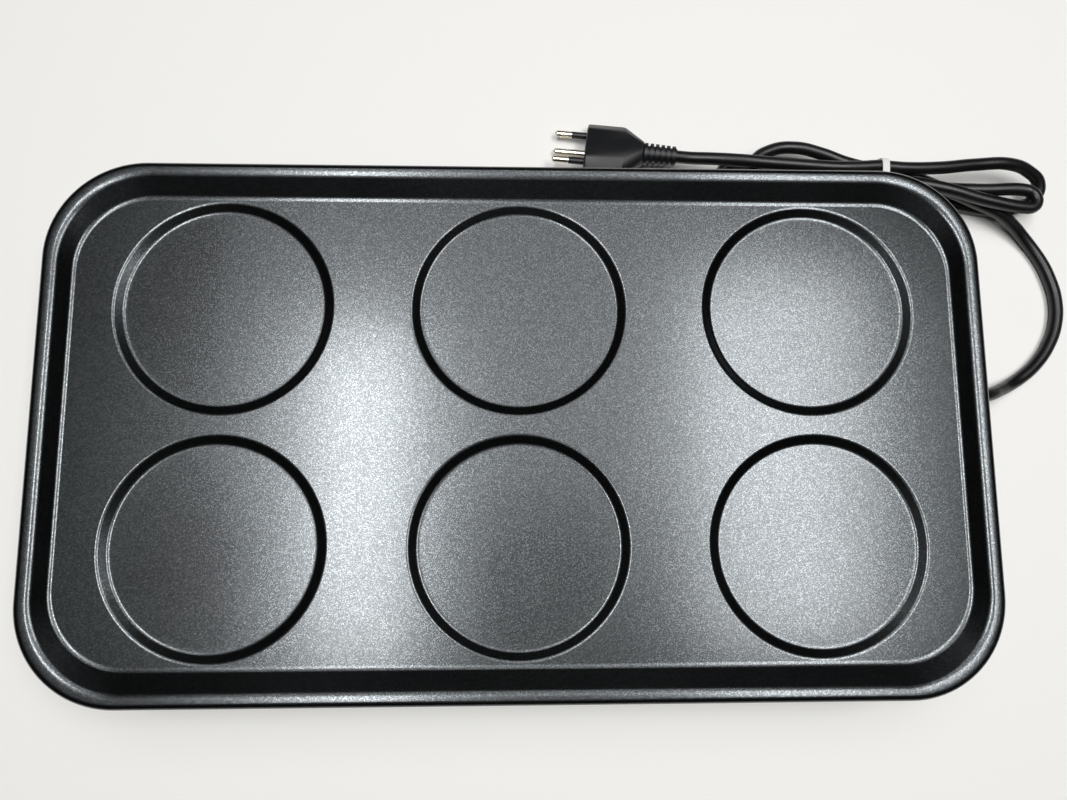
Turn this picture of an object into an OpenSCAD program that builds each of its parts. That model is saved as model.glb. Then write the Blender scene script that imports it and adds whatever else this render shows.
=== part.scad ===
// Mini crepe maker: a six-well countertop griddle with its mains lead folded and tied behind it.
// The origin is on the table under the middle of the cooking plate.
// X runs along the plate, Y runs from its front to its back, and Z points up. Sizes are in millimetres.

/* [Cooking plate] */
// Overall length of the plate
plate_len = 483; // [475:1:500]
// Overall width of the plate
plate_wid = 271.5; // [268:0.5:290]
// Corner radius of the plate seen from above
plate_r = 50.5; // [48:0.5:58]
// Height of the cooking floor above the table
cook_z = 56; // [54:0.5:64]
// Thickness of the cast floor
floor_t = 3; // [2.5:0.1:4]
// Height of the rim above the cooking floor
rim_h = 7.3; // [6.5:0.1:10]
// Width of the rim's rolled top at the short sides
rim_w_end = 7.8; // [7:0.1:9]
// Width of the rim's rolled top at the long sides
rim_w_side = 6.6; // [6:0.1:8]
// Run of the sloping wall inside the rim at the short sides
slope_end = 5.7; // [5:0.1:8]
// Run of the sloping wall inside the rim at the long sides
slope_side = 10.4; // [9:0.1:12]
// Corner radius of the cooking floor
floor_r = 39.5; // [38:0.5:44]
// Depth of the skirt below the cooking floor
skirt_h = 10; // [7:0.5:14]
// Thickness of the skirt
skirt_t = 2.2; // [1.8:0.1:2.6]
// How much the skirt comes in towards its bottom
skirt_draft = 1.2; // [0.6:0.1:2]
// Thickness of the metal in the rim's top
rim_t = 3; // [2.4:0.1:3.4]
// Length of the round at the foot of the wall inside the rim
rim_foot_round = 1.8; // [1:0.1:2.4]
// Length of the round at the inner edge of the rim's top
rim_in_round = 1.8; // [1:0.1:2.4]
// Length of the round at the outer edge of the rim's top
rim_out_round = 3.4; // [2:0.1:3.8]

/* [Wells] */
// Distance from the plate's short side to the edge of an outer well
well_edge_x = 34.7; // [33:0.1:37]
// Distance from the plate's long side to the edge of a well
well_edge_y = 19.55; // [19:0.05:21]
// Radius of a well at its edge
well_r = 55.5; // [53:0.5:57]
// Width of the sloping wall of a well
well_slope = 4.2; // [3:0.1:6]
// Length of the rounds at the edge and at the foot of a well's wall
well_round = 1; // [0.5:0.1:1.5]
// Depth of a well
well_depth = 3; // [2:0.1:4]
// Thickness of the metal under a well
well_t = 3; // [2.5:0.1:3.5]

/* [Base tray] */
// Distance from the plate's edge in to the tray's wall
tray_inset = 15.5; // [14:0.5:17]
// Corner radius of the tray
tray_r = 38; // [34:0.5:42]
// Wall thickness of the tray
tray_wall = 2.5; // [2:0.1:3]
// Thickness of the tray's bottom
tray_floor_t = 2.5; // [2.5:0.1:3]
// Length of the round at the tray's bottom edge
tray_round = 9; // [7:0.5:10]
// How much the tray narrows towards its bottom on each side
tray_draft = 1.5; // [0.5:0.1:2.5]
// Gap between the tray's wall and the plate
tray_gap = 0.4; // [0.3:0.1:1]
// Length of a vent slot
vent_len = 26; // [18:1:32]
// Width of a vent slot
vent_w = 3; // [2:0.5:4]
// Distance between vent slots
vent_pitch = 12; // [9:0.5:13]

/* [Feet] */
// Height of the feet below the tray
foot_h = 10; // [9:0.5:14]
// Radius of a foot where it meets the tray
foot_r = 16; // [14:0.5:17]
// Radius of a rubber foot pad
pad_r = 12; // [10:0.5:12.5]
// Thickness of a rubber foot pad
pad_t = 4.5; // [4:0.1:5]
// Distance from a foot's middle to the tray's short side
foot_inset_x = 48; // [46:1:52]
// Distance from a foot's middle to the tray's long side
foot_inset_y = 42; // [40:1:46]

/* [Posts and screws] */
// Distance from a corner post to the tray's short side
post_inset_x = 21; // [20:0.5:22]
// Distance from a corner post to the tray's long side
post_inset_y = 22; // [21:0.5:23]
// Radius of a post's thick lower part
post_r = 6; // [5.5:0.1:6.5]
// Radius of a post's upper part
post_top_r = 4.5; // [4:0.1:4.8]
// Radius of the bosses under the plate that take the long screws
boss_r = 5.5; // [5:0.1:6]
// Height of the bosses under the plate
boss_h = 6; // [5:0.5:7]
// Radius of a large screw's shank
screw_r = 2; // [1.8:0.1:2.2]
// Radius of a large screw's head
screw_head_r = 3.6; // [3.2:0.1:3.8]
// Height of a large screw's head
screw_head_h = 2.4; // [2:0.1:2.6]
// Radius of a small screw's shank
small_r = 1.5; // [1.3:0.1:1.6]
// Radius of a small screw's head
small_head_r = 2.8; // [2.4:0.1:2.9]
// Height of a small screw's head
small_head_h = 2; // [1.6:0.1:2.2]

/* [Heating] */
// Diameter of the heating element
element_d = 6.6; // [6:0.1:7.2]
// Half distance between the two element rows under one row of wells
element_half = 23; // [20:0.5:25]
// Distance from the tray's short side to the element's left bends
element_inset = 36; // [34:0.5:38]
// Distance from the tray's short side to the tip of the element's middle bend
element_turn = 38.5; // [36:0.5:42]
// Width of a clamp bar
bar_w = 16; // [14:0.5:18]
// Thickness of a clamp bar
bar_t = 1.5; // [1.2:0.1:2]
// Height of the reflector above the tray's bottom
reflector_rise = 21; // [20:0.5:23]
// Thickness of the reflector
reflector_t = 0.8; // [0.6:0.1:1.2]
// Distance from the reflector's edge to the inside of the tray
reflector_gap = 4; // [3:0.5:6]

/* [Thermostat and fuse] */
// Radius of the thermostat
stat_r = 8; // [7:0.5:8.5]
// Height of the thermostat with its cap
stat_h = 10; // [9:0.5:11]
// Radius of the thermal fuse in its sleeve
fuse_r = 2.2; // [1.8:0.1:2.4]
// Length of the thermal fuse
fuse_len = 12; // [10:0.5:14]

/* [Lead and plug] */
// Diameter of the mains lead
cord_d = 7.4; // [6.8:0.1:7.4]
// Diameter of an inner wire
wire_d = 2.4; // [2:0.1:2.6]
// Width of the plug
plug_w = 35.5; // [33:0.5:37]
// Thickness of the plug
plug_t = 13; // [12:0.1:13.4]
// Length of the plug's straight part
plug_flat = 22; // [20:0.5:24]
// Length of the plug's taper
plug_taper = 13; // [11:0.5:15]
// Length of the plug's ribbed strain relief
plug_relief_len = 19; // [17:0.5:21]
// Diameter of a plug pin
pin_d = 4; // [3.8:0.1:4.2]
// Length of a plug pin outside the plug
pin_len = 19; // [17:0.5:20]
// Distance between the live and neutral pins
pin_pitch = 19; // [18:0.5:20]
// Distance from the earth pin to the line of the other two
earth_off = 4.6; // [4:0.1:4.6]
// Length of a pin's insulating sleeve
sleeve_len = 9; // [7:0.5:10]
// Width of the tie round the hank
tie_w = 4; // [3:0.5:5]
// Thickness of the tie
tie_t = 0.9; // [0.6:0.1:0.9]

/* [Hidden] */
$fn = 48;
arc_steps = 16;
round_steps = 4;
fit = 0.05;
slack = 0.15;
join = 0.1;
seam = 0.1;

plate_hx = plate_len / 2;
plate_hy = plate_wid / 2;
slab_z = cook_z - floor_t;
well_under_z = cook_z - well_depth - well_t;
floor_hx = plate_hx - rim_w_end - slope_end;
floor_hy = plate_hy - rim_w_side - slope_side;
well_x = plate_hx - well_edge_x - well_r;
well_y = plate_hy - well_edge_y - well_r;
well_spots = [for (x = [-well_x, 0, well_x], y = [-well_y, well_y]) [x, y]];
pad_foot_r = well_r - well_slope;
pad_clear = 0.5;
skirt_edge_round = 0.6;
crown_drop = 0.3;
under_round = 1.2;

tray_hx = plate_hx - tray_inset;
tray_hy = plate_hy - tray_inset;
tray_z = foot_h;
tray_in_z = tray_z + tray_floor_t;
tray_top_z = slab_z - tray_gap;
inner_hx = tray_hx - tray_wall - tray_draft;
inner_hy = tray_hy - tray_wall - tray_draft;
tray_foot_in = tray_round + 1;

foot_x = tray_hx - foot_inset_x;
foot_y = tray_hy - foot_inset_y;
foot_spots = [for (sx = [-1, 1], sy = [-1, 1]) [sx * foot_x, sy * foot_y]];
foot_rim_z = 2.5;
foot_nut_h = 3.2;
foot_nut_r = 4;

post_x = tray_hx - post_inset_x;
post_y = tray_hy - post_inset_y;
mid_x = well_x / 2;
post_spots = concat(
    [for (sx = [-1, 1], sy = [-1, 1]) [sx * post_x, sy * post_y]],
    [for (sx = [-1, 1]) [sx * mid_x, 0]]);
seat_h = 2.5;
seat_r = post_r + 2;
seat_z = tray_in_z + seat_h;
head_z = tray_z + 0.4;
boss_z = slab_z - boss_h;
thread_gap = 1.5;

element_r = element_d / 2;
element_z = well_under_z - element_r - fit;
row_out = well_y + element_half;
row_in = well_y - element_half;
bend_x = -(tray_hx - element_inset);
turn_x = tray_hx - element_turn - row_in;
element_end_in = 26;
element_end_x = tray_hx - element_end_in;
seal_len = 5;
seal_r = element_r + 0.3;
pin_reach = 10;
contact_r = 1.2;
bar_z = element_z - element_r - fit;
bar_over = 8;
bar_half = row_out + bar_over;

reflector_z = tray_in_z + reflector_rise;
reflector_end_in = 60;
reflector_end_x = tray_hx - reflector_end_in;

bay_in = 21;
bay_x = tray_hx - bay_in;
stat_ear_out = 5;
stat_ear_y = stat_r + stat_ear_out;
stat_ear_z = slab_z - 3;
ear_t = 0.8;
ear_r = 3.6;
ear_boss_r = 3.5;
blade_w = 6.3;
blade_t = 0.8;
blade_len = 7;
blade_y = 4;
blade_z = slab_z - stat_h - blade_len;
fuse_from_stat = 25;
fuse_y = -(stat_ear_y + fuse_from_stat);
fuse_z = slab_z - fuse_r - slack;
fuse_lead = 3;
clip_w = 6;
clip_t = 0.8;
clip_reach = 7.5;
clip_clear = 2.9;
clip_half = fuse_r + slack + clip_t;
fuse_x = well_side_x(fuse_y) + clip_clear + clip_half;
clip_screw_x = fuse_x + clip_reach;
earth_in = 14;
earth_at = [tray_hx - earth_in, 34];
earth_boss_h = 3;
earth_boss_r = 4;

gland_y = 20.5;
gland_z = 18;
cord_r = cord_d / 2;
gland_bore_r = cord_r + slack;
gland_neck_r = cord_r + 1.5;
gland_hole_r = gland_neck_r + fit;
gland_flange_r = cord_r + 2.5;
gland_flange_t = 2.4;
sheath_in = 26;
sheath_x = tray_hx - sheath_in;
core_ring = 1.9;
clamp_in = 17;
clamp_x = tray_hx - clamp_in;
clamp_w = 8;
clamp_h = 6;
clamp_screw_y = cord_r + 5.8;
clamp_post_r = 3.2;
clamp_gap = 0.6;

block_from_side = 52;
block_x = tray_hx - block_from_side;
block_len = 18;
block_w = 30;
block_h = 14.5;
block_wire_z = 20;
block_pitch = 8;
block_in = 7;
block_screw_x = 5;
wire_r = wire_d / 2;
wire_hole_r = wire_r + slack;
wire_sides = 8;

hank_at = [219, 152];
hank_turn = -3.7;
hank_pitch = 7.9;
hank_lift = 1.2;
hank_sides = 6;
hank_straight = 8;
waist_top = 4;
waist_mid = 6;
waist_low = -4;
cord_sides = 10;
hank_levels = 3;
tie_place = -5;

plug_at = [40.3, 170.6, 9.2];
plug_yaw = -7;
plug_rise = 5;
plug_roll = -15;
plug_side = 1.6;
plug_top = 21;
pin_seat = 12;
rib_count = 6;
rib_w = 1.9;
rib_tail = 0.85;
rib_pitch = (plug_relief_len - rib_w - rib_tail) / (rib_count - 1);
rib_r = 6.4;
rib_end_r = 5.7;
core_r = 4.9;
core_end_r = 4.5;

SPACERS = ["spacer_front_left", "spacer_back_left", "spacer_front_right", "spacer_back_right",
    "spacer_mid_left", "spacer_mid_right"];
FEET = ["foot_front_left", "foot_back_left", "foot_front_right", "foot_back_right"];
PADS = ["foot_pad_front_left", "foot_pad_back_left", "foot_pad_front_right", "foot_pad_back_right"];
WIRES = ["wire_live_in", "wire_neutral_in", "wire_earth_in", "wire_live_out", "wire_link",
    "wire_live_element", "wire_neutral_element", "wire_earth_plate"];

// The hand-chosen route of the lead from the base to the waist of the hank
LEAD_ROUTE = [
    [250, 20.5, 18], [258, 20.5, 18], [265, 21, 17.1], [272, 22.3, 14.5], [279, 24.8, 10.2],
    [288, 28.5, 5.5], [298, 34.3, 3.8], [308, 43, 3.7], [316, 54, 3.7], [321, 66, 3.7],
    [322.5, 80, 3.7], [320, 93.5, 3.7], [314, 107.5, 3.7], [305.5, 118.5, 5.2], [296.5, 126.2, 8.8],
    [286, 132.3, 12.1], [274, 137.6, 12.6], [262, 142.8, 12.8], [250, 148, 12.8], [238, 153, 12.8]];
// The hand-chosen route of the lead from the waist of the hank to the plug
TAIL_ROUTE = [
    [203, 156, 20.7], [188, 155.6, 20.7], [174, 156.2, 20.7], [160, 157.1, 20.7],
    [146, 158, 20.7], [134, 159, 20.6], [123, 160.2, 19.4], [113, 161.6, 17.2]];
// The strain relief reaches to where the lead's route starts
relief_x = LEAD_ROUTE[0][0];

// How far along the plate the edge of an outer well reaches at a distance y from the plate's middle
function well_side_x(y) = well_x + sqrt(well_r * well_r - pow(abs(y) - well_y, 2));

// Points of a rounded rectangle about the origin
function rounded_points(hx, hy, r) = [for (c = [0:3], k = [0:arc_steps])
    let (a = 90 * c + 90 * k / arc_steps, sx = (c == 0 || c == 3) ? 1 : -1, sy = c < 2 ? 1 : -1)
    [sx * (hx - r) + r * cos(a), sy * (hy - r) + r * sin(a)]];

// The length of a step along a section, which for a row is taken at the long side
function step_of(v) = len(v) == 2 ? norm(v) : norm([v[1], v[3]]);

// The corner b of a section as a round that starts and ends a given way from it
function eased_corner(a, b, c, way) = way == 0 ? [b]
    : let (p = b + (a - b) * way / step_of(a - b), q = b + (c - b) * way / step_of(c - b))
    [for (i = [0:round_steps]) let (t = i / round_steps)
        p * (1 - t) * (1 - t) + 2 * b * t * (1 - t) + q * t * t];

// A closed section from its corners, each of them with the length of its round
function eased_section(corners) = let (n = len(corners)) [for (i = [0:n - 1])
    each eased_corner(corners[(i + n - 1) % n][0], corners[i][0], corners[(i + 1) % n][0], corners[i][1])];

// A ring whose section runs through rows of half length, half width, corner radius and height
module ring_solid(rows) {
    m = 4 * (arc_steps + 1);
    n = len(rows);
    points = [for (row = rows) for (p = rounded_points(row[0], row[1], row[2])) [p[0], p[1], row[3]]];
    faces = [for (i = [0:n - 1], j = [0:m - 1], half = [0, 1])
        let (a = i * m, b = ((i + 1) % n) * m, k = (j + 1) % m)
        half == 0 ? [a + j, a + k, b + k] : [a + j, b + k, b + j]];
    polyhedron(points, faces);
}

// A flat rounded rectangle with true arcs
module rounded_flat(hx, hy, r) {
    square([2 * hx, 2 * (hy - r)], center = true);
    square([2 * (hx - r), 2 * hy], center = true);
    for (sx = [-1, 1], sy = [-1, 1]) translate([sx * (hx - r), sy * (hy - r)]) circle(r);
}

module at_spots(spots) {
    for (p = spots) translate([p[0], p[1], 0]) children();
}

function unit(v) = v / norm(v);
function smooth(t) = let (s = min(max(t, 0), 1)) s * s * (3 - 2 * s);
function mix(a, b, t) = a + (b - a) * t;
function heading(path, i) = unit(path[min(i + 1, len(path) - 1)] - path[max(i - 1, 0)]);

// A round tube swept through the points of a path
module tube(path, d, sides, up = [0, 0, 1]) {
    n = len(path);
    rings = [for (i = [0:n - 1])
        let (t = heading(path, i), s = unit(cross(up, t)), u = cross(t, s))
        for (k = [0:sides - 1]) path[i] + d / 2 * (s * cos(360 * k / sides) + u * sin(360 * k / sides))];
    walls = [for (i = [0:n - 2], k = [0:sides - 1], half = [0, 1])
        let (a = i * sides, b = a + sides, l = (k + 1) % sides)
        half == 0 ? [a + k, b + l, a + l] : [a + k, b + k, b + l]];
    start = [for (k = [1:sides - 2]) [0, k, k + 1]];
    end = [for (k = [1:sides - 2]) [(n - 1) * sides, (n - 1) * sides + k + 1, (n - 1) * sides + k]];
    polyhedron(rings, concat(walls, start, end));
}

module screw(r, head_r, head_h, length) {
    cylinder(r = head_r, h = head_h);
    translate([0, 0, head_h]) cylinder(r = r, h = length);
}

// The rim's section runs over the wall, the crown and the skirt and back under them
function rim_row(end_in, side_in, r, z) = [plate_hx - end_in, plate_hy - side_in, r, cook_z + z];

floor_in = [rim_w_end + slope_end, rim_w_side + slope_side];
ring_in = rim_foot_round + 1;
under_z = 0.6 - floor_t;
skirt_in = skirt_draft + skirt_t;
// The skirt leans in, so that its widest place is where the outer round ends
lean_out = skirt_draft * rim_out_round / (rim_h + skirt_h - rim_out_round);
rim_corners = [
    [rim_row(floor_in[0] + ring_in, floor_in[1] + ring_in, floor_r - ring_in, -seam), 0],
    [rim_row(floor_in[0], floor_in[1], floor_r, -seam), rim_foot_round],
    [rim_row(rim_w_end, rim_w_side, plate_r - 4.7, rim_h - crown_drop), rim_in_round],
    [rim_row(rim_w_end / 2, rim_w_side / 2, plate_r - 2.4, rim_h), 0],
    [rim_row(-lean_out, -lean_out, plate_r + lean_out, rim_h - crown_drop), rim_out_round],
    [rim_row(skirt_draft, skirt_draft, plate_r - skirt_draft, -skirt_h), skirt_edge_round],
    [rim_row(skirt_in, skirt_in, plate_r - skirt_in, -skirt_h), skirt_edge_round],
    [rim_row(skirt_t + 0.4, skirt_t + 0.4, plate_r - skirt_t - 0.4, rim_h - rim_t), under_round],
    [rim_row(rim_w_end - 1.4, rim_w_side - 0.4, plate_r - 5, rim_h - rim_t - 0.6), under_round],
    [rim_row(floor_in[0] - 1.5, floor_in[1] - 1.5, floor_r + 1, under_z), 0],
    [rim_row(floor_in[0] + ring_in, floor_in[1] + ring_in, floor_r - ring_in, under_z), 0]];

// The space of a well: a flat floor and a sloping wall with a round at its foot and at its edge
module well_cut() {
    rotate_extrude(angle = 360, $fn = 96) polygon(eased_section([
        [[0, -well_depth], 0],
        [[well_r - well_slope, -well_depth], well_round],
        [[well_r, 0], well_round],
        [[well_r + 2 * well_round, 0], 0],
        [[well_r + 2 * well_round, rim_h], 0],
        [[0, rim_h], 0]]));
}

module griddle_plate() {
    color("dimgray") difference() {
        union() {
            ring_solid(eased_section(rim_corners));
            translate([0, 0, slab_z]) linear_extrude(floor_t)
                rounded_flat(floor_hx + 2, floor_hy + 2, floor_r + 0.8);
            at_spots(well_spots) translate([0, 0, well_under_z])
                cylinder(r1 = pad_foot_r, r2 = well_r, h = slab_z - well_under_z + join);
            at_spots(post_spots) translate([0, 0, boss_z]) cylinder(r = boss_r, h = boss_h + join);
            at_spots(bar_screw_spots) translate([0, 0, boss_z]) cylinder(r = boss_r, h = boss_h + join);
            at_spots(ear_spots) translate([0, 0, stat_ear_z])
                cylinder(r = ear_boss_r, h = slab_z - stat_ear_z + join);
            translate([clip_screw_x, fuse_y, stat_ear_z])
                cylinder(r = ear_boss_r, h = slab_z - stat_ear_z + join);
            translate([earth_at[0], earth_at[1], slab_z - earth_boss_h])
                cylinder(r = earth_boss_r, h = earth_boss_h + join);
        }
        at_spots(well_spots) translate([0, 0, cook_z]) well_cut();
        at_spots(concat(post_spots, bar_screw_spots)) translate([0, 0, boss_z - join])
            cylinder(r = screw_r + fit, h = boss_h + join - 0.5);
        at_spots(concat(ear_spots, [[clip_screw_x, fuse_y]])) translate([0, 0, stat_ear_z - join])
            cylinder(r = small_r + fit, h = slab_z - stat_ear_z + join + 0.8);
        translate([earth_at[0], earth_at[1], slab_z - earth_boss_h - join])
            cylinder(r = small_r + fit, h = earth_boss_h + join + 0.8);
    }
}

bar_screw_spots = [for (sx = [-1, 1], sy = [-1, 1]) [sx * mid_x, sy * well_y]];
ear_spots = [for (sy = [-1, 1]) [bay_x, sy * stat_ear_y]];

module rod(from_x, to_x, y) {
    translate([min(from_x, to_x), y, element_z]) rotate([0, 90, 0])
        cylinder(r = element_r, h = abs(to_x - from_x));
}

module bend(x, y, r, start) {
    translate([x, y, element_z]) rotate([0, 0, start])
        rotate_extrude(angle = 180) translate([r, 0]) circle(element_r);
}

module heating_element() {
    color("silver") union() {
        for (sy = [-1, 1]) {
            rod(bend_x, element_end_x, sy * row_out);
            rod(bend_x, turn_x, sy * row_in);
            bend(bend_x, sy * well_y, element_half, 90);
        }
        bend(turn_x, 0, row_in, -90);
    }
}

module element_seals() {
    color("ivory") for (sy = [-1, 1]) translate([element_end_x, sy * row_out, element_z])
        rotate([0, 90, 0]) difference() {
            cylinder(r = seal_r, h = seal_len);
            translate([0, 0, -join]) cylinder(r = contact_r + fit, h = seal_len + 2 * join);
        }
}

module element_contacts() {
    color("gold") for (sy = [-1, 1]) translate([element_end_x, sy * row_out, element_z])
        rotate([0, 90, 0]) cylinder(r = contact_r, h = seal_len + pin_reach);
}

module clamp_bar(side) {
    color("lightsteelblue") translate([side * mid_x, 0, bar_z - bar_t]) difference() {
        linear_extrude(bar_t) {
            square([bar_w, 2 * bar_half - bar_w], center = true);
            for (sy = [-1, 1]) translate([0, sy * (bar_half - bar_w / 2)]) circle(bar_w / 2);
        }
        translate([0, 0, -join]) cylinder(r = post_top_r + 0.3, h = bar_t + 2 * join);
        for (sy = [-1, 1]) translate([0, sy * well_y, -join])
            cylinder(r = screw_r + slack, h = bar_t + 2 * join);
    }
}

module clamp_bar_screws() {
    color("silver") at_spots(bar_screw_spots) translate([0, 0, bar_z - bar_t - screw_head_h])
        screw(screw_r, screw_head_r, screw_head_h, slab_z - thread_gap - (bar_z - bar_t));
}

module reflector_sheet() {
    r = tray_r - tray_wall - tray_draft - reflector_gap;
    color("gainsboro") translate([0, 0, reflector_z]) linear_extrude(reflector_t) difference() {
        intersection() {
            rounded_flat(inner_hx - reflector_gap, inner_hy - reflector_gap, r);
            translate([-tray_hx, -tray_hy]) square([tray_hx + reflector_end_x, 2 * tray_hy]);
        }
        for (p = post_spots) translate(p) circle(post_top_r + 0.3);
    }
}

function tray_row(inset, z) = [tray_hx - inset, tray_hy - inset, tray_r - inset, z];

tray_corners = [
    [tray_row(tray_wall, tray_top_z), 0],
    [tray_row(0, tray_top_z), 0],
    [tray_row(tray_draft, tray_z + seam), tray_round],
    [tray_row(tray_draft + tray_foot_in, tray_z + seam), 0],
    [tray_row(tray_draft + tray_foot_in, tray_in_z - seam), 0],
    [tray_row(tray_draft + tray_wall, tray_in_z - seam), tray_round - tray_wall]];

module vent_slots() {
    for (sy = [-1, 1], i = [-5:5]) translate([i * vent_pitch, sy * inner_hy / 2]) {
        square([vent_w, vent_len - vent_w], center = true);
        for (e = [-1, 1]) translate([0, e * (vent_len - vent_w) / 2]) circle(vent_w / 2);
    }
}

module base_tray() {
    inset = tray_draft + tray_foot_in - 1.4;
    color([0.11, 0.11, 0.11]) difference() {
        union() {
            ring_solid(eased_section(tray_corners));
            translate([0, 0, tray_z]) linear_extrude(tray_floor_t) difference() {
                rounded_flat(tray_hx - inset, tray_hy - inset, tray_r - inset);
                vent_slots();
                for (p = foot_spots) translate(p) circle(screw_r + slack);
            }
            at_spots(post_spots) translate([0, 0, tray_in_z - join])
                cylinder(r = seat_r, h = seat_h + join);
            translate([clamp_x - clamp_w / 2, gland_y - clamp_screw_y - clamp_post_r, tray_in_z - join])
                cube([clamp_w, 2 * (clamp_screw_y + clamp_post_r), gland_z - clamp_gap - tray_in_z + join]);
            translate([tray_hx - tray_wall - tray_draft, gland_y, gland_z]) rotate([0, 90, 0])
                cylinder(r = gland_flange_r + 1, h = tray_wall + tray_draft);
        }
        at_spots(post_spots) {
            translate([0, 0, tray_z - join])
                cylinder(r = screw_head_r + slack, h = head_z - tray_z + screw_head_h + join);
            cylinder(r = screw_r + slack, h = seat_z + join);
        }
        translate([tray_hx - 30, gland_y, gland_z]) rotate([0, 90, 0])
            cylinder(r = cord_r + fit, h = 30 - tray_wall - tray_draft - join);
        translate([tray_hx - tray_wall - tray_draft - join, gland_y, gland_z]) rotate([0, 90, 0])
            cylinder(r = gland_hole_r, h = tray_wall + 2 * tray_draft + 2 * join);
        translate([tray_hx - tray_wall - tray_draft - gland_flange_t - 4 * slack, gland_y, gland_z])
            rotate([0, 90, 0]) cylinder(r = gland_flange_r + slack, h = gland_flange_t + 4 * slack);
        at_spots(well_spots) translate([0, 0, well_under_z - pad_clear])
            cylinder(r = well_r + pad_clear, h = floor_t + well_t);
        for (sy = [-1, 1]) translate([clamp_x, gland_y + sy * clamp_screw_y, tray_in_z])
            cylinder(r = small_r + fit, h = gland_z);
        for (sy = [-1, 1]) translate([block_x, gland_y + sy * block_pitch / 2, tray_z + 0.5])
            cylinder(r = small_r + fit, h = tray_floor_t);
    }
}

module base_screws() {
    color("silver") at_spots(post_spots) translate([0, 0, head_z])
        screw(screw_r, screw_head_r, screw_head_h, slab_z - thread_gap - head_z - screw_head_h);
}

module spacer(i) {
    color("darkgray") at_spots([post_spots[i]]) difference() {
        union() {
            translate([0, 0, seat_z]) cylinder(r = post_r, h = reflector_z - seat_z);
            translate([0, 0, seat_z]) cylinder(r = post_top_r, h = boss_z - seat_z);
        }
        cylinder(r = screw_r + slack, h = cook_z);
    }
}

module foot(i) {
    color([0.13, 0.13, 0.13]) at_spots([foot_spots[i]]) difference() {
        translate([0, 0, foot_rim_z]) cylinder(r1 = pad_r + 1.6, r2 = foot_r, h = tray_z - foot_rim_z);
        translate([0, 0, foot_rim_z - join]) cylinder(r = pad_r + slack, h = pad_t - foot_rim_z + join);
        cylinder(r = screw_head_r + slack, h = pad_t + screw_head_h + slack);
        cylinder(r = screw_r + slack, h = tray_z + join);
    }
}

module foot_pad(i) {
    color([0.2, 0.2, 0.2]) at_spots([foot_spots[i]]) {
        cylinder(r1 = pad_r - 0.6, r2 = pad_r, h = 0.6);
        translate([0, 0, 0.6]) cylinder(r = pad_r, h = pad_t - 0.6);
    }
}

module foot_screws() {
    color("silver") at_spots(foot_spots) translate([0, 0, pad_t + slack])
        screw(screw_r, screw_head_r, screw_head_h, tray_in_z + foot_nut_h - pad_t - screw_head_h - slack);
}

module foot_nuts() {
    color("silver") at_spots(foot_spots) translate([0, 0, tray_in_z]) difference() {
        cylinder(r = foot_nut_r, h = foot_nut_h, $fn = 6);
        translate([0, 0, -join]) cylinder(r = screw_r + fit, h = foot_nut_h + 2 * join);
    }
}

module thermostat_body() {
    color("sienna") translate([bay_x, 0, slab_z - stat_h]) difference() {
        cylinder(r = stat_r, h = stat_h - 3 - ear_t);
        for (sy = [-1, 1]) translate([-blade_w / 2 - fit, sy * blade_y - blade_t / 2 - fit, -join])
            cube([blade_w + 2 * fit, blade_t + 2 * fit, 2 + join]);
    }
}

module thermostat_cap() {
    color("silver") translate([bay_x, 0, 0]) {
        translate([0, 0, stat_ear_z - ear_t]) difference() {
            linear_extrude(ear_t) {
                circle(stat_r);
                square([2 * ear_r, 2 * stat_ear_y], center = true);
                for (sy = [-1, 1]) translate([0, sy * stat_ear_y]) circle(ear_r);
            }
            for (sy = [-1, 1]) translate([0, sy * stat_ear_y, -join])
                cylinder(r = small_r + slack, h = ear_t + 2 * join);
        }
        translate([0, 0, stat_ear_z - join]) cylinder(r = stat_r - 0.5, h = slab_z - stat_ear_z + join - fit);
    }
}

module thermostat_blades() {
    color("gold") for (sy = [-1, 1])
        translate([bay_x - blade_w / 2, sy * blade_y - blade_t / 2, blade_z])
            cube([blade_w, blade_t, blade_len + 2]);
}

module thermostat_screws() {
    color("silver") at_spots(ear_spots) translate([0, 0, stat_ear_z - ear_t - small_head_h])
        screw(small_r, small_head_r, small_head_h, ear_t + slab_z - stat_ear_z + 0.4);
}

module thermal_fuse() {
    color("tan") translate([fuse_x, fuse_y, fuse_z]) rotate([90, 0, 0]) union() {
        cylinder(r = fuse_r, h = fuse_len, center = true);
        cylinder(r = wire_r, h = fuse_len + 2 * fuse_lead, center = true);
    }
}

module fuse_clip() {
    drop = fuse_z - fuse_r - slack - clip_t;
    color("silver") difference() {
        union() {
            translate([fuse_x - clip_half, fuse_y - clip_w / 2, drop])
                cube([2 * clip_half, clip_w, slab_z - drop - fit]);
            translate([fuse_x, fuse_y - clip_w / 2, stat_ear_z - clip_t])
                cube([clip_screw_x - fuse_x, clip_w, clip_t]);
            translate([clip_screw_x, fuse_y, stat_ear_z - clip_t]) cylinder(r = clip_w / 2, h = clip_t);
        }
        translate([fuse_x, fuse_y, fuse_z]) rotate([90, 0, 0])
            cylinder(r = fuse_r + fit, h = clip_w + 2 * join, center = true);
        translate([fuse_x - fuse_r - fit, fuse_y - clip_w / 2 - join, fuse_z])
            cube([2 * (fuse_r + fit), clip_w + 2 * join, slab_z]);
        translate([clip_screw_x, fuse_y, 0]) cylinder(r = small_r + slack, h = slab_z);
    }
}

module fuse_screw() {
    color("silver") translate([clip_screw_x, fuse_y, stat_ear_z - clip_t - small_head_h])
        screw(small_r, small_head_r, small_head_h, clip_t + slab_z - stat_ear_z + 0.4);
}

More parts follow.
